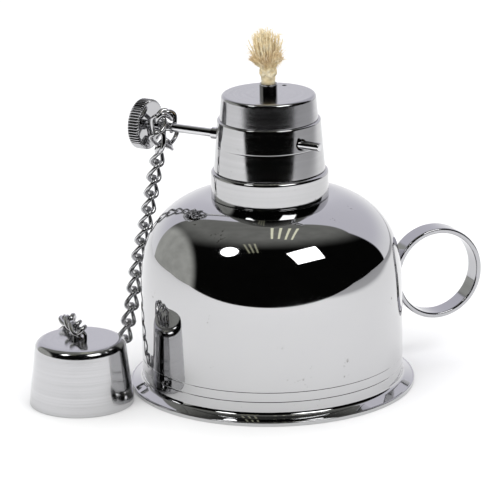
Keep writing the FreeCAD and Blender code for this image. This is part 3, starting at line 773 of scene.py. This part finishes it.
# %% Cap shell
CAP_MOUTH = 14.6
CAP_SHOULDER = 12.45
CAP_SHEET = 0.6
CAP_CORNER = 2.3
STAPLE_HOLE = 0.6
top_z = cap_height / MM
inner_z = top_z - CAP_SHEET
outline = rounded([(CAP_MOUTH - CAP_SHEET, 0.0), (CAP_MOUTH, 0.0, 0.25),
                   (CAP_SHOULDER, top_z, CAP_CORNER), (STAPLE_HOLE, top_z),
                   (STAPLE_HOLE, inner_z),
                   (CAP_SHOULDER - CAP_SHEET, inner_z, CAP_CORNER - CAP_SHEET)], 16)
cap = spun("cap_shell_fine", outline)
lay_along(cap, Matrix.Translation(cap_middle))
settle(cap, cap_satin, "cap", "cap_shell", 40.0)

# %% [markdown]
# ### The chain
# The chain is a curb chain: every link is twisted, so that the links lie flat against each
# other. One link is modelled. A ring is drawn out into an oval, loops are cut across its
# straight sides, and a twist is put in from end to end. The frame's plain links give every
# place and direction, so the fine chain follows the same line.

# %% Model one twisted link
WIRE = 0.68
HALF_LENGTH = 3.0
HALF_WIDTH = 1.85
TWIST_AT_END = 56.5
SIDE_CUTS = (-1.2, -0.8, -0.4, 0.4, 0.8, 1.2)


def twisted_link():
    """A ring drawn out along X and twisted from end to end."""
    bpy.ops.object.select_all(action="DESELECT")
    bpy.ops.mesh.primitive_torus_add(major_radius=HALF_WIDTH * MM, minor_radius=WIRE * MM,
                                     major_segments=32, minor_segments=14)
    link = bpy.context.object
    link.name = "link"
    stretch = (HALF_LENGTH - HALF_WIDTH) * MM
    for vertex in link.data.vertices:
        if abs(vertex.co.x) > 0.02 * MM:
            vertex.co.x += math.copysign(stretch, vertex.co.x)
    bpy.ops.object.mode_set(mode="EDIT")
    for cut in SIDE_CUTS:
        bpy.ops.mesh.select_all(action="SELECT")
        bpy.ops.mesh.bisect(plane_co=(cut * MM, 0.0, 0.0), plane_no=(1.0, 0.0, 0.0))
    bpy.ops.object.mode_set(mode="OBJECT")
    twist = link.modifiers.new("twist", "SIMPLE_DEFORM")
    twist.deform_method = "TWIST"
    twist.deform_axis = "X"
    twist.angle = math.radians(2 * TWIST_AT_END * (HALF_LENGTH + WIRE) / HALF_LENGTH)
    bpy.ops.object.modifier_apply(modifier=twist.name)
    return link


link = twisted_link()
print("link faces", len(link.data.polygons), "size", link.dimensions / MM)


# %% [markdown]
# The frame's chain nodes hold plain links, each apart from the next. Points that are joined by
# edges belong to one link, so walking along edges finds the links one by one. A link's long
# direction is then the way from its middle to its tips.


# %% Read where each link of a chain lies in the frame
TIP_SHARE = 0.86


def link_places(node):
    """The middle and the long direction of every separate link in a CAD chain."""
    mesh = bmesh.new()
    mesh.from_mesh(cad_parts[node].data)
    bmesh.ops.remove_doubles(mesh, verts=mesh.verts, dist=0.0005 * MM)
    left = set(mesh.verts)
    places = []
    while left:
        stack = [left.pop()]
        island = []
        while stack:
            vertex = stack.pop()
            island.append(vertex.co.copy())
            for edge in vertex.link_edges:
                other = edge.other_vert(vertex)
                if other in left:
                    left.remove(other)
                    stack.append(other)
        middle = sum(island, Vector()) / len(island)
        far = max(island, key=lambda p: (p - middle).length)
        ahead = [p - middle for p in island if (p - middle).dot(far - middle) > 0]
        ahead = sum(ahead, Vector()).normalized()
        for _ in range(3):
            reach = max((p - middle).dot(ahead) for p in island)
            tips = [p - middle for p in island if (p - middle).dot(ahead) > TIP_SHARE * reach]
            ahead = sum(tips, Vector()).normalized()
        places.append((middle, ahead))
    mesh.free()
    return places


print("links in the hanging chain", len(link_places("hanging_chain")))


# %% Lay the twisted link at every place
def fine_chain(node, body, across):
    """One chain: a copy of the link for each place, all joined to one piece."""
    copies = []
    for middle, ahead in link_places(node):
        side = (across - ahead * across.dot(ahead)).normalized()
        turn = Matrix((ahead, side, ahead.cross(side))).transposed().to_4x4()
        copy = link.copy()
        copy.data = link.data.copy()
        bpy.context.scene.collection.objects.link(copy)
        copy.data.transform(Matrix.Translation(middle) @ turn)
        copies.append(copy)
    bpy.ops.object.select_all(action="DESELECT")
    for copy in copies:
        copy.select_set(True)
    bpy.context.view_layer.objects.active = copies[0]
    bpy.ops.object.join()
    chain = bpy.context.object
    chain.name = node + "_fine"
    print(node, "links", len(copies))
    return settle(chain, chain_chrome, body, node, 60.0)


SWING_BEARING = math.radians(60.0)
swing_axis = Vector((math.cos(SWING_BEARING), math.sin(SWING_BEARING), 0.0))
fine_chain("chain_loop", "burner", rod_way)
fine_chain("hanging_chain", "chain", swing_axis)
fine_chain("cap_chain", "cap", swing_axis)
bpy.data.objects.remove(link)

# %% [markdown]
# ### The wick
# A soft cotton cord fills the tube and opens into loose yarns above it. The cord is a tube
# along a bent path. Each yarn is a path of its own that leaves the tube, leans outward and
# curls, and stray fibres stand off the tips. Paths with a round bevel are the natural way to
# make yarn, since its thickness hardly changes along its length.


# %% Paths of yarn
def yarn(name, paths, thickness, resolution=3):
    """Turns several paths of (point, width) into one mesh of round yarns."""
    curve = bpy.data.curves.new(name, "CURVE")
    curve.dimensions = "3D"
    curve.bevel_depth = thickness * MM
    curve.bevel_resolution = resolution
    curve.use_fill_caps = True
    curve.resolution_u = 3
    for path in paths:
        spline = curve.splines.new("POLY")
        spline.points.add(len(path) - 1)
        for point, (place, width) in zip(spline.points, path):
            point.co = (*(place * MM), 1.0)
            point.radius = width
    piece = bpy.data.objects.new(name, curve)
    bpy.context.scene.collection.objects.link(piece)
    bpy.ops.object.select_all(action="DESELECT")
    piece.select_set(True)
    bpy.context.view_layer.objects.active = piece
    bpy.ops.object.convert(target="MESH")
    return bpy.context.object


# %% The cord: down the tube, and along the bottom of the tank
TAIL_BEND = 12.0
TAIL_HEIGHT = 14.5
CORD = 1.95
CORE_REACH = 5.0
TANK_MIDDLE = 50.0
lip = tube_top / MM
wick_top = high("wick").z / MM
cord_path = [(Vector((0.0, 0.0, lip + CORE_REACH)), 0.85), (Vector((0.0, 0.0, lip)), 1.0),
             (Vector((0.0, 0.0, TANK_MIDDLE)), 1.0)]
for point in arc((TAIL_BEND, TAIL_HEIGHT + TAIL_BEND), TAIL_BEND, 180, 270, 12):
    cord_path.append((Vector((point.x, 0.0, point.y)), 1.0))
cord = yarn("cord", [cord_path], CORD, 6)
print("cord points", len(cord_path), "lip", round(lip, 2), "top", round(wick_top, 2))

# %% [markdown]
# Above the lip the cord shows as a braid: half of its strands wind one way and half the other,
# and each swings in and out to pass over and under. Below the lip and just above it, the braid
# is still as narrow as the tube, so that it can be drawn down, and then it swells.

# %% The braid above the lip: strands that wind both ways
random.seed(11)
STEM = 5.6
STRANDS = 8
STRAND = 0.62
STRAND_TURN = 3.4
BRAID_REACH = 1.36
NARROW_STEM = 1.1
SWELL_OVER = 1.2
WEAVE_SWING = 0.2
WEAVE_WAVES = 21.0
STEM_SPREAD = 0.3
braid_paths = []
for index in range(STRANDS):
    way = 1 if index % 2 else -1
    start = math.tau * index / STRANDS
    path = []
    for step in range(-4, 21):
        part = step / 20
        turn = start + way * STRAND_TURN * part
        swell = min(max(STEM * part - NARROW_STEM, 0.0) / SWELL_OVER, 1.0)
        over = math.sin(part * WEAVE_WAVES + index * math.pi / 2)
        weave = BRAID_REACH + swell * (WEAVE_SWING + WEAVE_SWING * over)
        weave += STEM_SPREAD * swell * part
        place = Vector((math.cos(turn) * weave, math.sin(turn) * weave, lip + STEM * part))
        path.append((place, 1.0 if part > 0 else 0.75))
    braid_paths.append(path)
braid = yarn("braid", braid_paths, STRAND, 3)
print("braid faces", len(braid.data.polygons))

# %% [markdown]
# At its end the wick frays. Each tuft starts in the stem and goes its own way: the middle ones
# stand up and many of the outer ones fall outwards. Their roots are set out by the golden
# angle, which fills a disc evenly, and seeded chance gives each its lean, length and curl, so
# that the wick is the same on every run. Hair particles would do too, but wouldn't be a mesh.

# %% Tufts
TUFTS = 230
TUFT = 0.22
GOLDEN_ANGLE = 2.39996
ROOT_DEPTH = 1.4
ROOT_REACH = 1.75
tuft_paths = []
for index in range(TUFTS):
    turn = index * GOLDEN_ANGLE
    spread = math.sqrt((index + 0.5) / TUFTS)
    falls = spread > 0.55 and random.random() < 0.65
    rise = (wick_top - lip - STEM + ROOT_DEPTH) * random.uniform(0.7, 1.0) * (1.0 - 0.16 * spread)
    lean = Vector((math.cos(turn), math.sin(turn), 0.0)) * spread * random.uniform(1.0, 3.2)
    lean += Vector((random.uniform(-0.9, 0.9), random.uniform(-0.9, 0.9), 0.0))
    droop = 0.0
    if falls:
        lean = Vector((math.cos(turn), math.sin(turn), 0.0)) * random.uniform(2.0, 3.5)
        rise *= random.uniform(0.15, 0.8)
        droop = random.uniform(0.0, 0.5)
    lean.x -= 0.5
    phase = random.uniform(0.0, math.tau)
    curl = random.uniform(0.1, 0.45)
    root = Vector((math.cos(turn), math.sin(turn), 0.0)) * ROOT_REACH * spread
    path = []
    for step in range(-3, 11):
        part = max(step, 0) / 10
        place = root + lean * part ** 0.8
        place.x += curl * part * math.sin(part * 7.0 + phase)
        place.y += curl * part * math.cos(part * 6.0 + phase)
        climb = (rise + ROOT_DEPTH) * (part - droop * part * part)
        place.z = lip + STEM - ROOT_DEPTH + climb
        place.z += 0.4 * min(step, 0)
        path.append((place, 1.0 - 0.6 * part ** 3))
    tuft_paths.append(path)
tufts = yarn("tufts", tuft_paths, TUFT, 1)
print("tufts faces", len(tufts.data.polygons))

# %% Stray fibres, as fine as hair
FIBRES = 2600
FIBRE = 0.055
fibre_paths = []
for index in range(FIBRES):
    start, width = tuft_paths[random.randrange(TUFTS)][random.randrange(4, 14)]
    away = Vector((start.x, start.y, 0.0))
    away = away.normalized() if away.length > 0.1 else Vector((1.0, 0.0, 0.0))
    way = (away * random.uniform(-0.1, 0.9) + Vector((random.uniform(-0.8, 0.8),
           random.uniform(-0.8, 0.8), random.uniform(-0.5, 1.0)))).normalized()
    length = random.uniform(0.5, 1.9)
    bend = Vector((random.uniform(-0.7, 0.7), random.uniform(-0.7, 0.7), 0.2))
    path = []
    for step in range(4):
        part = step / 3
        path.append((start + way * (length * part) + bend * part * part, 1.0 - 0.7 * part))
    fibre_paths.append(path)
fibres = yarn("fibres", fibre_paths, FIBRE, 0)
print("fibres faces", len(fibres.data.polygons))

# %% [markdown]
# Undyed cotton is cream. Two noises make it: a fine one for the fibres, which also feeds the bump,
# and a coarser one for whole strands. The height on the wick does the rest. From just above the
# lip downwards it is painted dark, a painted shade where the tube shades it, and at the height
# where the tufts part it turns a patchy brown.

# %% Cotton
CREAM = (0.97, 0.91, 0.74)
STRAW = (0.88, 0.77, 0.53)
SHADE = (0.86, 0.72, 0.45)
PARTING_BROWN = (0.62, 0.42, 0.20)
# painted shade for the wick at and below the tube's lip, where the tube shades it
LIP_SHADE = (0.34, 0.28, 0.16)
cotton = bpy.data.materials.new("cotton")
cotton.use_nodes = True
n = Nodes(cotton.node_tree)
shader = cotton.node_tree.nodes["Principled BSDF"]
place = n.add("ShaderNodeTexCoord").outputs["Object"]
tuft = n.noise(place, 1500.0, 4.0, 0.65)
strand = n.noise(place, 420.0, 2.0, 0.5)
wick_height = n.add("ShaderNodeSeparateXYZ")
n.link(place, wick_height.inputs[0])
# painted shade: the wick turns dark from just above the lip downwards
depth = n.ramp(wick_height.outputs["Z"], (lip - 0.6) * MM, (lip + 0.9) * MM)
fleck = n.mix(n.ramp(tuft, 0.35, 0.65), STRAW, CREAM)
shaded = n.mix(n.ramp(strand, 0.35, 0.7), SHADE, fleck)
# a patchy brown band at the height where the tufts part
rise = n.ramp(wick_height.outputs["Z"], (lip + 4.5) * MM, (lip + 6.5) * MM)
fall = n.ramp(wick_height.outputs["Z"], (lip + 7.5) * MM, (lip + 11.0) * MM, 1.0, 0.0)
patch = n.ramp(n.noise(place, 260.0, 2.0), 0.35, 0.65, 0.10, 0.6)
roots = n.math("MULTIPLY", patch, n.math("MULTIPLY", rise, fall))
shaded = n.mix(roots, shaded, PARTING_BROWN)
n.link(n.mix(depth, LIP_SHADE, shaded), shader.inputs["Base Color"])
shader.inputs["Roughness"].default_value = 0.95
weave = n.add("ShaderNodeBump")
weave.inputs["Strength"].default_value = 1.0
weave.inputs["Distance"].default_value = 0.25 * MM
n.link(tuft, weave.inputs["Height"])
n.link(weave.outputs["Normal"], shader.inputs["Normal"])
print("cotton nodes", len(cotton.node_tree.nodes))

# %% Join the wick and set it in the tube
bpy.ops.object.select_all(action="DESELECT")
for part in (cord, braid, tufts, fibres):
    part.select_set(True)
bpy.context.view_layer.objects.active = cord
bpy.ops.object.join()
wick = bpy.context.object
wick.name = "wick_fine"
settle(wick, cotton, "wick", "wick", 60.0)

# %% [markdown]
# ## The stage
# Polished chrome has no look of its own: it shows the room. So the room is built with care.
# A pale sheet lies under the lamp and ends a little way in front of it, a pale backdrop
# rises behind, and the open side in front is dark, with two soft lamps above it. That gives
# the bright wall, the dark band round the shoulder and the two bright shapes in it. To its
# right the sheet mirrors greyer than it is, which gives the burner its darker right side.


# %% The pale sheet under the lamp
SHEET_MIDDLE = (0.0, 0.54, 0.0)
SHEET_SIZE = (2.6, 1.74, 1.0)
PALE_PAPER = (0.93, 0.93, 0.93)
GREYER_PAPER = (0.90, 0.90, 0.91)
SHADED_PAPER = (0.42, 0.42, 0.43)


def pale_sheet():
    """The paper that the lamp stands on."""
    bpy.ops.object.select_all(action="DESELECT")
    bpy.ops.mesh.primitive_plane_add(size=1.0, location=SHEET_MIDDLE)
    sheet = bpy.context.object
    sheet.name = "pale_sheet"
    sheet.scale = SHEET_SIZE
    bpy.ops.object.transform_apply(location=True, rotation=True, scale=True)
    material = bpy.data.materials.new("pale_paper")
    material.use_nodes = True
    n = Nodes(material.node_tree)
    shader = material.node_tree.nodes["Principled BSDF"]
    place = n.add("ShaderNodeTexCoord").outputs["Object"]
    tone = n.mix(n.noise(place, 30.0, 3.0), PALE_PAPER, GREYER_PAPER)
    split = n.add("ShaderNodeSeparateXYZ")
    n.link(place, split.inputs[0])
    mirrored = n.math("SUBTRACT", 1.0, n.add("ShaderNodeLightPath").outputs["Is Camera Ray"])
    shaded = n.math("MULTIPLY", n.ramp(split.outputs["X"], 0.26, 0.42), mirrored)
    tone = n.mix(shaded, tone, SHADED_PAPER)
    n.link(tone, shader.inputs["Base Color"])
    shader.inputs["Roughness"].default_value = 0.85
    sheet.data.materials.append(material)
    return sheet


print("sheet", pale_sheet().dimensions)

# %% [markdown]
# The room could be built of walls, but only its mirror image is ever seen, so it is painted on
# the world: the colour depends on the direction alone. Behind, the backdrop is brightest near
# the sheet. In front it is dark, with a grey ceiling and a grey wall on the left. The camera
# itself sees plain white.


# %% The room, as a world of directions
BACKDROP_FOOT = (1.05, 1.05, 1.08)
BACKDROP_TOP = (0.80, 0.79, 0.87)
CEILING_GLOW = 0.24
SIDE_GLOW = 0.50


def room():
    """Pale behind and below, dark in front, with a grey ceiling; plain white to the camera."""
    world = bpy.data.worlds.new("room")
    bpy.context.scene.world = world
    world.use_nodes = True
    n = Nodes(world.node_tree)
    world.node_tree.nodes.clear()
    output = n.add("ShaderNodeOutputWorld")
    split = n.add("ShaderNodeSeparateXYZ")
    n.link(n.add("ShaderNodeTexCoord").outputs["Generated"], split.inputs[0])
    x, y, z = (split.outputs[axis] for axis in "XYZ")
    up = n.math("MAXIMUM", z, 0.0)
    left = n.math("MULTIPLY", n.math("MAXIMUM", n.math("MULTIPLY", x, -1.0), 0.0), 0.85)
    fade = n.math("MAXIMUM", n.math("MULTIPLY_ADD", up, -1.5, 1.0), 0.0)
    right = n.math("MULTIPLY", n.math("MULTIPLY", n.math("MAXIMUM", x, 0.0), 0.6), fade)
    edge = n.math("MULTIPLY_ADD", up, 0.5, n.math("ADD", left, right))
    backdrop = n.ramp(n.math("SUBTRACT", y, edge), -0.01, 0.02)
    ceiling = n.ramp(n.math("MULTIPLY_ADD", y, 0.55, z), 0.66, 1.0, 0.003, CEILING_GLOW)
    side = n.ramp(n.math("MULTIPLY_ADD", y, 0.35, n.math("MULTIPLY", x, -1.0)), 0.80, 0.90,
                  0.0, SIDE_GLOW)
    streaks = n.noise(n.add("ShaderNodeTexCoord").outputs["Generated"], 6.0, 3.0)
    gloom = n.math("MULTIPLY", n.math("ADD", ceiling, side), n.ramp(streaks, 0.2, 0.8, 0.85, 1.1))
    tone = n.mix(0.5, (0.98, 1.0, 0.93), (1.0, 1.0, 0.95))
    shade = n.add("ShaderNodeVectorMath", operation="SCALE")
    n.link(tone, shade.inputs[0])
    n.link(gloom, shade.inputs["Scale"])
    height = n.ramp(z, 0.0, 0.40)
    pale = n.mix(height, BACKDROP_FOOT, BACKDROP_TOP)
    seen = n.mix(backdrop, shade.outputs[0], pale)
    to_camera = n.add("ShaderNodeLightPath").outputs["Is Camera Ray"]
    final = n.mix(to_camera, seen, (1.0, 1.0, 1.0))
    background = n.add("ShaderNodeBackground")
    n.link(final, background.inputs["Color"])
    n.link(background.outputs[0], output.inputs["Surface"])
    return world


print("room nodes", len(room().node_tree.nodes))

# %% [markdown]
# Two soft lamps stand in the dark front. Their shapes matter more than their power, because
# they show in the shoulder: the left one is round and the right one is a rectangle.


# %% Soft lamps
def soft_lamp(name, azimuth, elevation, distance, size, power, shape="RECTANGLE", visible=True):
    """An area lamp aimed at the lamp's middle, from a compass direction round it."""
    light = bpy.data.lights.new(name, "AREA")
    light.shape = shape
    light.size = size[0]
    light.size_y = size[1]
    light.energy = power
    lamp = bpy.data.objects.new(name, light)
    bpy.context.scene.collection.objects.link(lamp)
    turn = math.radians(azimuth)
    rise = math.radians(elevation)
    way = Vector((math.sin(turn) * math.cos(rise), -math.cos(turn) * math.cos(rise),
                  math.sin(rise)))
    target = Vector((0.0, 0.0, 0.045))
    lamp.location = target + way * distance
    lamp.rotation_euler = (-way).to_track_quat("-Z", "Y").to_euler()
    lamp.visible_glossy = visible
    return lamp


left_softbox = soft_lamp("left_softbox", -55.0, 52.0, 1.0, (0.24, 0.26), 0.8, "ELLIPSE")
right_softbox = soft_lamp("right_softbox", 43.0, 48.0, 1.0, (0.44, 0.36), 2.2)
print("softboxes at", left_softbox.location, right_softbox.location)

# %% [markdown]
# Rows of tubes hang under the ceiling. Each row is (across, along, length, glow). They are
# too far off to light the lamp much, and they show as thin pale bars.

# %% Ceiling tubes: seen only as thin pale bars in the shoulder's dark band
CEILING = 2.5
TUBE_WIDTH = 0.055
TUBE_TINT = (1.0, 1.0, 0.72)
TUBE_ROWS = ((0.03, 0.30, 1.0, 0.9), (0.20, 0.30, 1.0, 0.9), (0.38, 0.25, 1.0, 0.9),
             (0.55, 0.25, 1.0, 0.9), (-0.78, -0.95, 0.8, 0.45), (-0.62, -0.95, 0.8, 0.45),
             (-0.46, -0.95, 0.8, 0.45))
for row, (across, along, length, glow) in enumerate(TUBE_ROWS):
    tube = bpy.data.lights.new(f"ceiling_tube_{row}", "AREA")
    tube.shape = "RECTANGLE"
    tube.size = TUBE_WIDTH
    tube.size_y = length
    tube.color = TUBE_TINT
    tube.energy = glow * math.pi * tube.size * length
    holder = bpy.data.objects.new(tube.name, tube)
    bpy.context.scene.collection.objects.link(holder)
    holder.location = (across, along, CEILING)
print("ceiling tubes", len(TUBE_ROWS))

# %% [markdown]
# The sheet has to come out plain white without a hard shadow. A very wide sun and a large lamp
# in front do that. The chrome must not mirror either, so both are hidden from glossy rays.

# %% A wide overhead light and a front fill for the pale sheet
sky = bpy.data.lights.new("overhead_fill", "SUN")
sky.energy = 2.45
sky.angle = math.radians(120.0)
overhead = bpy.data.objects.new("overhead_fill", sky)
bpy.context.scene.collection.objects.link(overhead)
overhead.visible_glossy = False
front_fill = soft_lamp("front_fill", -12.0, 24.0, 1.5, (1.6, 1.0), 9.0, visible=False)
print("fill at", front_fill.location)

# %% [markdown]
# The camera stands nearly a metre off and a little above the lamp, with a long lens, so that
# upright edges stay nearly upright. It leans by one degree, as a camera held in the hand does.

# %% The camera, at the height and distance that the lamp is seen from
CAMERA_DISTANCE = 0.9407
CAMERA_HEIGHT = 0.326
LENS = 253.2
CAMERA_LEAN = -0.97
LOOK_AT = Vector((-0.0058, 0.0, 0.0401))
camera_data = bpy.data.cameras.new("camera")
camera_data.sensor_width = 36.0
camera_data.lens = LENS
camera_data.clip_start = 0.05
camera = bpy.data.objects.new("camera", camera_data)
bpy.context.scene.collection.objects.link(camera)
camera.location = (0.0, -CAMERA_DISTANCE, CAMERA_HEIGHT)
look = LOOK_AT - camera.location
roll = Matrix.Rotation(math.radians(CAMERA_LEAN), 4, "Z")
camera.matrix_world = (Matrix.Translation(camera.location)
                       @ look.to_track_quat("-Z", "Y").to_matrix().to_4x4() @ roll)
bpy.context.scene.camera = camera
bpy.context.scene.view_settings.view_transform = "Standard"
print("camera looks along", look.normalized())
